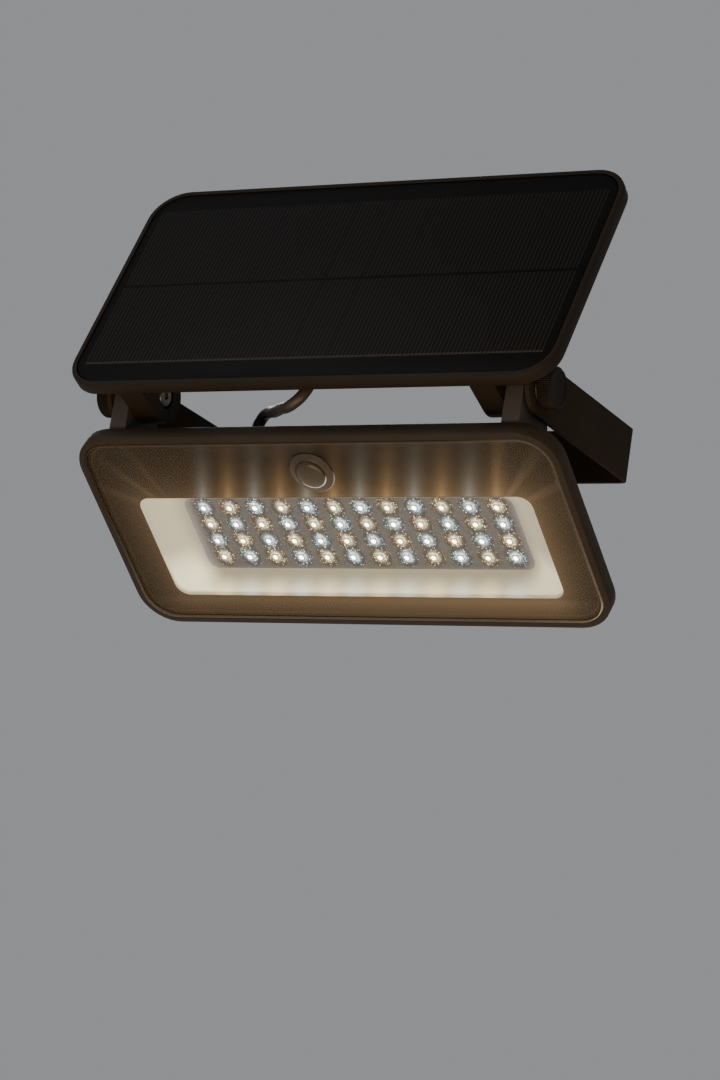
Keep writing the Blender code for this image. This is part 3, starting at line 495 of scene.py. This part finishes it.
def lens_mask():
    """The print behind the lens's border: dark, with the LEDs' light through the prisms painted
    on it as glow, streaks and rays.
    """
    dark, light = (0.007, 0.0042, 0.0020), (0.017, 0.0100, 0.0045)
    paint = Paint("lens_mask", dark, 0.5, Specular_IOR_Level=0.1)
    x, _, z = paint.xyz()
    prisms, grain = prism_height(paint, 1.0), paint.noise(0.9, 2)
    away = outside_window(paint)
    ends = ((x.do("ABSOLUTE") - 60) / 60).do("MAXIMUM", 0)
    near, far = away.decay(9.0), away.decay(26.0) * (1 - ends * 0.35)
    below = (z * -1 + WINDOW_Z[0]).smooth(-1, 3)
    beam, warm = streaks(paint, (z - WINDOW_Z[1]).do("MAXIMUM", 0))
    corner = x.smooth(85, 116) * z.smooth(-70, -104)
    # painted light: the glow is brighter to the right and dimmer at the lower right corner
    side = (x.smooth(-118, 100) * 0.42 + 0.70) * (1 - corner * 0.45)
    mottled = grain * 0.15 + prisms * 0.3 + 0.72
    rays = corner_rays(paint, away)
    # painted light: glow round the window, stronger below it, with the rays, streaks and dotted
    # line
    brown = near * 0.120 + far * 0.026 + below * near * 0.080 + rays * 0.085
    brown = (brown * side + dotted_line(paint) * 0.035) * mottled
    warm_light = beam * warm * 0.16 * mottled
    cool_light = beam * (1 - warm) * 0.150 * mottled
    paint.link(Base_Color=paint.mix(mottled * 0.8, dark, light),
               Emission_Color=paint.total(paint.tint(GLOW_BROWN, brown),
                                          paint.tint((1.0, 0.58, 0.24), warm_light),
                                          paint.tint((0.75, 0.80, 0.72), cool_light)))
    paint.set(Emission_Strength=1.0)
    return paint.relief(prisms, 0.05, 0.5).material


def lens_edge():
    """The lens's bevelled rim, with a little of the light painted on it as glow, brightest along
    the bottom and right and at the lower right corner.
    """
    paint = Paint("lens_edge", (0.030, 0.021, 0.013), 0.4, Specular_IOR_Level=0.2)
    x, _, z = paint.xyz()
    corner = x.smooth(104, 113) * z.smooth(-88, -99)
    # painted light: the rim's glow, stronger low down, to the right and at the lower right
    # corner
    lit = z.smooth(-30, -104) * 0.075 + x.smooth(60, 115) * 0.05 + corner * 0.35 + 0.014
    speck = paint.noise(1.1, 2) * 0.8 + 0.5
    paint.link(Emission_Color=paint.tint((1.0, 0.74, 0.46), lit * speck))
    paint.set(Emission_Strength=1.0)
    return paint.relief(paint.noise(0.8, 2), 0.03).material


def lens_clear():
    """The clear lens, which shows the print and the tray behind it through its prisms."""
    paint = Paint("lens_clear", (0.30, 0.25, 0.18), 0.45, Alpha=0.03, Specular_IOR_Level=0.08)
    return paint.relief(prism_height(paint, 1.0), 0.05, 0.5).material


def tray_finish():
    """The white reflector, with the LEDs' light on it painted as glow, brightest by the LEDs."""
    paint = Paint("reflector_glow", (0.50, 0.46, 0.36), 0.45)
    x, y, z = paint.xyz()
    away = outside_leds(paint)
    across, _, warm = led_grid(paint)
    # painted light: glow rising away from the LEDs, brighter low down and dimmer to the right,
    # pools between the LEDs, and a front lip painted brighter at the top and darker at the
    # bottom
    low = z.smooth(-66, -84)
    side = x.smooth(10, 105) * -0.42 + 1.0
    pool = across.bell(4.8) * away.smooth(7, 12) * away.smooth(26, 13)
    rise = away.smooth(7.0, 16.0)
    lit = (rise * (low * 1.25 + 0.42) + 0.10) * side * (away.decay(60) * 0.5 + 0.6)
    prisms = prism_height(paint, 1.0) * 0.45 + paint.noise(1.1, 2) * 0.3 + 0.62
    lip = y.smooth(-25.0, -26.4) * (low * 1.1 - 0.35)
    colour = paint.total(paint.tint((1.0, 0.91, 0.57), lit * prisms * (1 - lip)),
                         paint.tint((1.0, 0.66, 0.34), pool * warm * low * 0.60),
                         paint.tint((0.66, 0.88, 1.0), pool * (1 - warm) * low * 0.40))
    paint.link(Emission_Color=colour)
    paint.set(Emission_Strength=0.80)
    return paint.relief(paint.noise(3, 3), 0.05).material


def halo_finish():
    """The LED board as the prisms show it: a sparkling halo of painted light round each LED, and
    a painted glow on the board further out.
    """
    floor_dark, floor_light = (0.030, 0.026, 0.022), (0.075, 0.066, 0.056)
    paint = Paint("led_halos", floor_dark, 0.5)
    across, down, warm = led_grid(paint)
    reach = (across * across + down * down * 0.80).do("SQRT")
    distance, lucky, hue = paint.cells(1.05, 0.5)
    dots = distance.smooth(0.46, 0.16) * lucky.smooth(0.05, 0.8)
    halo = reach.smooth(6.2, 4.0)
    core = reach.bell(1.55)
    edge = reach.smooth(1.8, 5.0)
    turn = (across * 0.8 - down * 0.6) / 5.5
    fine = paint.noise(0.9, 2)
    rim = outside_leds(paint).smooth(4.0, 12.0)
    warm_rim = paint.mix(turn.smooth(-0.5, 0.6), (1.0, 0.34, 0.06), (0.85, 0.55, 0.26))
    cool_rim = paint.mix(turn.smooth(-0.5, 0.6), (0.34, 0.60, 0.34), (0.26, 0.46, 0.80))
    warm_dot = paint.mix(edge * 0.6 + hue * 0.4, (1.0, 0.78, 0.36), warm_rim)
    cool_dot = paint.mix(edge * 0.6 + hue * 0.4, (0.80, 1.0, 0.96), cool_rim)
    # painted light: the board's glow, brighter away from the LEDs, with the halos, sparkle and
    # bright cores
    ground = (fine * 0.10 + 0.060 + rim * 0.30) * (1 - halo * 0.92)
    sparkle = halo * dots * (1 - edge * 0.5) * 3.4
    colour = paint.total(paint.tint((1.0, 0.90, 0.78), ground),
                         paint.tint(paint.mix(warm, cool_dot, warm_dot), sparkle),
                         paint.tint(paint.mix(warm, (0.9, 1.0, 1.0), (1.0, 0.88, 0.60)),
                                    core * 4.0 + reach.bell(2.6) * 0.5))
    paint.link(Base_Color=paint.mix(fine, floor_dark, floor_light), Emission_Color=colour)
    paint.set(Emission_Strength=1.0)
    return paint.relief(fine, 0.05).material


def lamp_finish(name, colour, strength):
    paint = Paint(name, colour, 0.3)
    grain = paint.noise(0.4, 2) * 0.2 + 0.85
    paint.link(Emission_Color=paint.tint(colour, grain))
    paint.set(Emission_Strength=strength)
    return paint.material


def cell_finish():
    """The laminated solar cells: fine fingers, faint joints, a gap across and a lower line."""
    dark, cell = (0.0040, 0.0031, 0.0027), (0.0070, 0.0056, 0.0049)
    paint = Paint("solar_cells", dark, 0.45, Specular_IOR_Level=0.06)
    x, _, z = paint.xyz()
    middle = 47.7
    up = z - middle
    inside = x.do("ABSOLUTE").smooth(112.6, 112.2) * up.do("ABSOLUTE").smooth(48.4, 48.0)
    finger = (x * (math.pi / 1.9)).do("SINE").do("ABSOLUTE").smooth(0.30, 0.08)
    gap = up.do("ABSOLUTE").smooth(0.9, 0.5)
    joint = (x * (math.pi / 18.75)).do("COSINE").do("ABSOLUTE").smooth(0.055, 0.025)
    edge = (up + 47.6).do("ABSOLUTE").smooth(0.7, 0.4)
    shift = paint.noise(16, 2)
    ground = paint.mix(inside * (shift * 0.4 + 0.6), dark, cell)
    lines = (finger * 0.45 + edge * 0.35) * inside * (1 - gap)
    colour = paint.mix(lines, ground, (0.088, 0.070, 0.062))
    colour = paint.mix((joint * 0.5 + gap) * inside, colour, (0.0016, 0.0014, 0.0014))
    smudge = paint.noise(22, 4)
    paint.link(Base_Color=colour, Roughness=smudge * 0.06 + 0.44)
    return paint.relief(finger * inside, 0.03, 0.5).material


# --- carried-over CAD nodes -------------------------------------------------------------
# moulded takes colour, roughness, grain in mm, depth of relief in mm, spread of shade and shine.
FINISHES = {
    "bracket": moulded("powder_coat", (0.0290, 0.0195, 0.0125), 0.74, 1.1, 0.05, 0.3, 0.05),
    "shell": moulded("shell_plastic", DARK_BROWN, 0.54, 0.6, 0.03, 0.3, 0.15),
    "cover": moulded("cover_plastic", (0.0260, 0.0190, 0.0130), 0.58, 0.9, 0.05, 0.3, 0.15),
    "panel": moulded("panel_plastic", (0.0180, 0.0112, 0.0060), 0.55, 0.6, 0.03, 0.3, 0.12),
    "knob": moulded("knob_plastic", (0.0170, 0.0112, 0.0070), 0.56, 0.5, 0.02, 0.3, 0.08),
    "rubber": moulded("seal_rubber", (0.012, 0.011, 0.011), 0.72, 0.5, 0.03, 0.3),
    "nylon": moulded("natural_nylon", (0.50, 0.47, 0.40), 0.45, 0.9, 0.02, 0.1),
    "bolt": metal("blackened_bolt", (0.20, 0.18, 0.16), 0.36, (1, 1, 6)),
    "bezel": moulded("bezel_plastic", DARK_BROWN, 0.50, 0.6, 0.03, 0.3, 0.12),
    "housing": housing_finish(),
    "steel": metal("zinc_steel", (0.55, 0.54, 0.52), 0.34, (1, 1, 6)),
    "brass": metal("turned_brass", (0.72, 0.52, 0.24), 0.30, (6, 1, 1)),
    "green": board_finish("green_board", (0.02, 0.12, 0.05), (0.10, 0.34, 0.14)),
    "white": board_finish("white_board", (0.62, 0.62, 0.60), (0.45, 0.46, 0.44)),
    "film": moulded("cell_film", (0.04, 0.14, 0.36), 0.32, 1.6, 0.03, 0.2),
    "milky": moulded("milky_plastic", (0.42, 0.40, 0.36), 0.4, 0.8, 0.02, 0.12),
}
NODE_FINISH = {
    "bracket": ["wall_bracket"],
    "bezel": ["front_bezel"],
    "housing": ["rear_housing"],
    "shell": ["battery_cradle", "button_ring"],
    "cover": ["battery_cover", "junction_lid", "junction_box"],
    "panel": ["panel_frame"],
    "rubber": ["lens_seal", "housing_gasket", "mode_button"],
    "nylon": ["friction_washer_left", "friction_washer_right"],
    "brass": ["knob_insert_left", "knob_insert_right"],
    "green": ["sensor_board", "control_board"],
    "film": ["battery_cell_upper", "battery_cell_lower"],
    "milky": ["button_switch"],
    "bolt": ["hinge_bolt_left", "hinge_bolt_right"],
    "steel": ["knob_washer_left", "knob_washer_right", "sensor_can"],
}
SOFT_EDGES = {"wall_bracket": 0.35, "junction_box": 0.5, "battery_cover": 0.3,
              "knob_washer_left": 0.12, "knob_washer_right": 0.12}


def dress_nodes():
    """Gives each CAD node its material, and smooth shading between its sharp edges."""
    chosen = {node: FINISHES[kind] for kind, nodes in NODE_FINISH.items() for node in nodes}
    for name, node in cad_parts.items():
        finish = chosen.get(name, FINISHES["steel"] if "screw" in name else FINISHES["shell"])
        node.data.materials.clear()
        node.data.materials.append(finish)
        for layer in ("custom_normal", "sharp_edge", "sharp_face"):
            if layer in node.data.attributes:
                node.data.attributes.remove(node.data.attributes[layer])
        node.data.shade_smooth()
        weld = node.modifiers.new("weld", "WELD")
        weld.merge_threshold = 0.002 * MM
        if name in SOFT_EDGES:
            edge = node.modifiers.new("soft_edges", "BEVEL")
            edge.width = SOFT_EDGES[name] * MM
            edge.segments = 2
            edge.angle_limit = math.radians(50)
            edge.use_clamp_overlap = True
        split = node.modifiers.new("sharp_edges", "EDGE_SPLIT")
        split.split_angle = math.radians(34)


# --- lens, tray and LEDs ----------------------------------------------------------------
def pierced(piece, edge):
    """The piece with the sensor's hole cut through it."""
    data = bmesh.new()
    loft(data, [at_y(circle(SENSOR_HOLE, 64, 0, SENSOR_Z), y)
                for y in (LENS_FRONT - 1, LENS_BACK + 1)])
    hole = finish_piece("sensor_hole", data, [edge], HEAD, None)
    cut = piece.modifiers.new("sensor_hole", "BOOLEAN")
    cut.operation, cut.solver, cut.object = "DIFFERENCE", "EXACT", hole
    bpy.context.view_layer.update()
    graph = bpy.context.evaluated_depsgraph_get()
    mesh = bpy.data.meshes.new_from_object(piece.evaluated_get(graph))
    piece.modifiers.clear()
    piece.data = mesh
    bpy.data.objects.remove(hole)
    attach(piece, "head")


def lens_pieces():
    """The clear lens with its bevelled rim, and the dark print on its back."""
    chamfer, steps, edge = 0.5, 14, lens_edge()

    def outer(by):
        return rounded(LENS_X - by, (LENS_Z[0] + by, LENS_Z[1] - by), LENS_CORNER - by, steps)

    data = bmesh.new()
    loft(data, [at_y(outer(0.25), PRINT_FRONT - 0.06), at_y(outer(0), PRINT_FRONT - 0.3),
                at_y(outer(0), LENS_FRONT + chamfer), at_y(outer(0.12), LENS_FRONT + 0.14),
                at_y(outer(chamfer), LENS_FRONT)], slots=[0, 1, 1, 1])
    data.faces.ensure_lookup_table()
    data.faces[-1].material_index = 0
    plate = finish_piece("lens_clear_plate", data, [lens_clear(), edge], HEAD, None)
    pierced(plate, edge)
    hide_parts("lens")
    window = rounded(WINDOW_X, WINDOW_Z, WINDOW_CORNER, steps)
    data = bmesh.new()
    loft(data, [at_y(outer(0.3), LENS_BACK), at_y(outer(0.3), PRINT_FRONT),
                at_y(window, PRINT_FRONT), at_y(window, LENS_BACK)], closed=True)
    print_layer = finish_piece("lens_border_print", data, [lens_mask(), edge], HEAD, None)
    pierced(print_layer, edge)


def tray():
    """The reflector tray: a flange, a short lip and smooth walls sloping to the LEDs."""
    front = LENS_BACK + 0.4
    data = bmesh.new()
    lip_half, lip_low, lip_high, lip_corner, lip_y = 96.2, -89.8, -36.9, 6.3, front + 2.0
    inward, up, down, tighter, deep = 14.2, 5.8, 7.1, 1.3, 7.6  # how far the walls slope
    rings = [(101, (-94.0, -32.5), 9, front), (98.2, (-91.3, -35.3), 7, front),
             (97.9, (-91.0, -35.6), 6.8, front + 0.3), (97.4, (-90.4, -36.1), 6.5, front + 1.4),
             (lip_half, (lip_low, lip_high), lip_corner, lip_y)]
    slopes = 9
    for i in range(1, slopes + 1):
        t = i / slopes
        ease = t - math.sin(2 * math.pi * t) / (2 * math.pi) * 0.35
        rings.append((lip_half - inward * t, (lip_low + up * t, lip_high - down * t),
                      lip_corner - tighter * t, lip_y + deep * ease))
    wall, flange = 0.5, 0.4
    loops = [at_y(rounded(half, z, radius, 10), y) for half, z, radius, y in rings]
    behind = [at_y(rounded(half + wall, (z[0] - wall, z[1] + wall), radius + wall, 10),
                   y + flange)
              for half, z, radius, y in reversed(rings)]
    loft(data, loops + behind, closed=True)
    piece = finish_piece("reflector_tray", data, [tray_finish()], HEAD, "head", 50)
    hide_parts("reflector")


def led_floor():
    """The LED board's plate, with a bevelled face."""
    data = bmesh.new()
    x_half, low, high, corner, back, bevel = 84.5, -86.5, -41.5, 3, -14.2, 0.2
    edge = rounded(x_half, (low, high), corner)
    face = rounded(x_half - bevel, (low + bevel, high - bevel), corner - bevel)
    loft(data, [at_y(edge, back), at_y(edge, BOARD_FRONT + bevel), at_y(face, BOARD_FRONT)])
    piece = finish_piece("led_board_plate", data, [halo_finish()], HEAD, "head")
    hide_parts("led_board")


def led_rows():
    """Each row's LEDs: a white package with a round lit face, warm and cool in turn."""
    package = moulded("led_package", (0.70, 0.70, 0.68), 0.4, 0.5, 0.01, 0.1)
    finishes = [package, lamp_finish("led_warm", (1.0, 0.74, 0.36), 12.0),
                lamp_finish("led_cool", (0.84, 0.97, 1.0), 12.0)]
    base = BOARD_FRONT - 0.28
    for row in range(ROWS):
        data = bmesh.new()
        z = FIRST_Z - row * PITCH_Z
        for column in range(COLUMNS):
            x = FIRST_X + column * PITCH_X
            lamp = 1 if (row + column) % 2 else 2
            body, top = (rounded(half, (z - half, z + half), 0.3, 2, x) for half in (1.5, 1.4))
            ring, lit = (circle(radius, 12, x, z) for radius in (1.15, 1.05))
            loft(data, [at_y(body, base), at_y(body, base - 0.55), at_y(top, base - 0.62)])
            loft(data, [at_y(ring, base - 0.63), at_y(lit, base - 0.72)], slots=[lamp])
        piece = finish_piece(f"led_row_{row + 1}_packages", data, finishes, HEAD, "head")
        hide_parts(f"led_row_{row + 1}")


def sensor():
    """The motion sensor's dome and collar, with a painted glow that is stronger low down, and
    painted highlights on the rims where they catch the light from below.
    """
    plain = Paint("sensor_plastic", (0.022, 0.015, 0.009), 0.24, Specular_IOR_Level=0.3)
    _, _, z = plain.xyz()
    # painted light: a glow on the dome and collar, stronger low down
    low = (z - SENSOR_Z).smooth(9, -11)
    plain.link(Emission_Color=plain.tint(GLOW_BROWN, low * 0.055 + 0.022),
               Roughness=plain.noise(2, 2) * 0.15 + 0.18)
    plain.set(Emission_Strength=1.0)
    plain.relief(plain.noise(0.9, 2), 0.01)
    rim = Paint("sensor_rim", (0.022, 0.015, 0.009), 0.35, Specular_IOR_Level=0.2)
    x, _, z = rim.xyz()
    # painted highlights: crescents on the inner and outer rims
    out = (x * x + (z - SENSOR_Z) * (z - SENSOR_Z)).do("SQRT")
    facing = ((z - SENSOR_Z) / out) * -1 + x / out * 0.25
    inner = out.smooth(9.0, 8.0) * facing.smooth(0.25, 0.85)
    outer = out.smooth(8.0, 9.0) * (facing + x / out * 0.6).smooth(0.7, 1.25) * 0.35
    grain = rim.noise(0.8, 2) * 0.5 + 0.75
    rim.link(Emission_Color=rim.tint((1.0, 0.93, 0.78), (inner + outer) * grain * 0.95))
    rim.set(Emission_Strength=1.0)
    rim.relief(rim.noise(0.6, 2), 0.01)
    dome = [(0, 3.6)]
    for i in range(1, 10):
        angle = math.radians(90 - 9.2 * i)
        dome.append((6.55 * math.cos(angle), 1.85 + 1.75 * math.sin(angle)))
    profile = dome + [(6.6, 1.72), (6.75, 1.62), (6.85, 1.95), (7.1, 1.95), (7.25, 1.6),
                      (9.9, 0.62), (10.2, 0.58), (10.45, 0.36), (10.5, 0.0),
                      (7.0, 0), (7.0, -5.4), (5.8, -5.4), (5.8, 0.9), (0, 1.4)]
    slots = [0] * (len(profile) - 3)
    for band in (11, 12, 15, 16):
        slots[band] = 1
    data = bmesh.new()
    turned(data, profile, 72, (0, LENS_FRONT - 0.3, SENSOR_Z), (0, -1, 0), slots)
    piece = finish_piece("sensor_dome_cap", data, [plain.material, rim.material], HEAD, "head")
    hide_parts("sensor_dome")


# --- panel, knobs, glands, cable and floor ----------------------------------------------
def panel_face():
    """The laminated face of the solar panel, with a fine bevelled edge."""
    x_half, low, high, corner = 116.7, -11.0, 106.0, 14.1
    front, back = -21.8, -18.5
    data = bmesh.new()

    def ring(by, y):
        return at_y(rounded(x_half - by, (low + by, high - by), corner - by, 14), y)

    loft(data, [ring(0, back), ring(0, front + 0.3), ring(0.1, front + 0.1),
                ring(0.3, front)])
    piece = finish_piece("solar_laminate", data, [cell_finish()], PANEL, "panel")
    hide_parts("panel_glass", "cell_sheet")


def knob(name, side):
    """A thumb knob with rounded ridges, a shallow dished face and room for its brass insert.

    Each station is (x, how far out from radius, how deep its ridges are from 0 to 1).
    """
    ridges, per_ridge, radius, ridge_depth = 60, 4, 9.15, 0.42
    count = ridges * per_ridge
    stations = [(110.9, -4.35, 0), (105.6, -4.35, 0), (105.35, -4.1, 0),
                (105.35, -0.95, 0), (105.6, -0.55, 0.2), (106.2, -0.1, 1), (111.0, -0.1, 1),
                (111.6, -0.45, 0.3), (112.0, -1.1, 0), (112.0, -1.7, 0), (111.6, -2.2, 0),
                (111.5, -4.5, 0)]
    loops = []
    for x, out, ridged in stations:
        loop = []
        for i in range(count):
            wave = 0.5 + 0.5 * math.cos(2 * math.pi * i / per_ridge)
            reach = radius + out - ridge_depth * ridged * (1 - wave)
            angle = 2 * math.pi * i / count
            loop.append((side * x, reach * math.cos(angle), reach * math.sin(angle)))
        loops.append(loop)
    data = bmesh.new()
    loft(data, loops)
    piece = finish_piece(f"knob_grip_{name}", data, [FINISHES["knob"]],
                         Matrix.Translation(HINGE), f"{name}_knob", 50)
    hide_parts(f"thumb_knob_{name}")


def gland(name, node, place, length, direction, body, frame_of):
    """A moulded strain relief with grip ribs, tapering towards the cable."""
    profile = [(0, 0), (4.5, 0), (4.5, length * 0.2), (4.2, length * 0.28),
               (4.45, length * 0.36), (4.1, length * 0.44), (3.9, length * 0.5),
               (3.6, length * 0.56), (3.85, length * 0.64), (3.5, length * 0.72),
               (3.7, length * 0.80), (3.3, length * 0.90), (2.9, length), (0, length)]
    data = bmesh.new()
    turned(data, profile, 40, place, direction)
    piece = finish_piece(name, data, [FINISHES["rubber"]], frame_of, body)
    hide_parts(node)


def smooth_route(points, spacing):
    """Points along a Catmull-Rom curve through points, and the index of each in the result."""
    ends = [2 * points[0] - points[1], *points, 2 * points[-1] - points[-2]]
    found, places = [], []
    for a, b, c, d in zip(ends, ends[1:], ends[2:], ends[3:]):
        steps = max(2, round((c - b).length / spacing))
        places.append(len(found))
        for i in range(steps):
            t = i / steps
            found.append(0.5 * (2 * b + (c - a) * t + (2 * a - 5 * b + 4 * c - d) * t * t
                                + (3 * b - a - 3 * c + d) * t * t * t))
    return found + [points[-1]], places + [len(found)]


def tube(name, route, first_side, finish):
    """(a round tube along route, its last side), where first_side points across its start"""
    data = bmesh.new()
    sides, side, loops = 20, first_side, []
    for i, point in enumerate(route):
        along = (route[min(i + 1, len(route) - 1)] - route[max(i - 1, 0)]).normalized()
        side = (side - along * side.dot(along)).normalized()
        across = along.cross(side)
        loops.append([point + CABLE_RADIUS * (side * math.cos(a) + across * math.sin(a))
                      for a in (2 * math.pi * j / sides for j in range(sides))])
    loft(data, loops)
    return finish_piece(name, data, [finish], WORLD, None, 60), side


def cable():
    """The lead between head and panel, made as two tubes that meet at the route's point by the
    bracket.
    """
    out, away = 0.15, 2.6
    from_head = [HEAD @ (Vector((HEAD_GLAND_X, HEAD_GLAND_TIP + by, HEAD_GLAND_Z)) * MM) / MM
                 for by in (out, away)]
    to_panel = [PANEL @ (Vector((PANEL_GLAND_X, PANEL_GLAND_Y, PANEL_GLAND_TIP - by)) * MM) / MM
                for by in (away, out)]
    points = [*from_head, *(Vector(p) for p in CABLE_ROUTE), *to_panel]
    route, places = smooth_route(points, 1.0)
    fixed = places[len(from_head) + CABLE_FIXED]
    jacket = moulded("cable_jacket", (0.046, 0.032, 0.022), 0.45, 0.7, 0.03, 0.25, 0.4)
    lower, side = tube("link_cable_lower", route[:fixed + 1], Vector((1, 0, 0)), jacket)
    upper, _ = tube("link_cable_upper", route[fixed:], side, jacket)
    middle = route[fixed] * MM
    route[0] * MM
    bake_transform(lower)
    route[-1] * MM
    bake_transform(upper)
    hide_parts("link_cable")


def studio_floor():
    data = bmesh.new()
    bmesh.ops.create_grid(data, x_segments=1, y_segments=1, size=FLOOR_HALF)
    paint = Paint("floor", (0.78, 0.78, 0.77), 0.8)
    paint.link(Roughness=paint.noise(60, 3) * 0.2 + 0.7)
    finish_piece("floor", data, [paint.material],
                          Matrix.Translation((0, 0, FLOOR_HEIGHT)), None)


camera()
studio()
dress_nodes()
lens_pieces()
tray()
led_floor()
led_rows()
sensor()
panel_face()
for knob_name, knob_side in (("left", -1), ("right", 1)):
    knob(knob_name, knob_side)
gland("head_strain_relief", "head_gland", (HEAD_GLAND_X, HEAD_GLAND_FOOT, HEAD_GLAND_Z),
      HEAD_GLAND_TIP - HEAD_GLAND_FOOT, (0, 1, 0), "head", HEAD)
gland("panel_strain_relief", "panel_gland", (PANEL_GLAND_X, PANEL_GLAND_Y, PANEL_GLAND_FOOT),
      PANEL_GLAND_FOOT - PANEL_GLAND_TIP, (0, 0, -1), "panel", PANEL)
cable()
studio_floor()
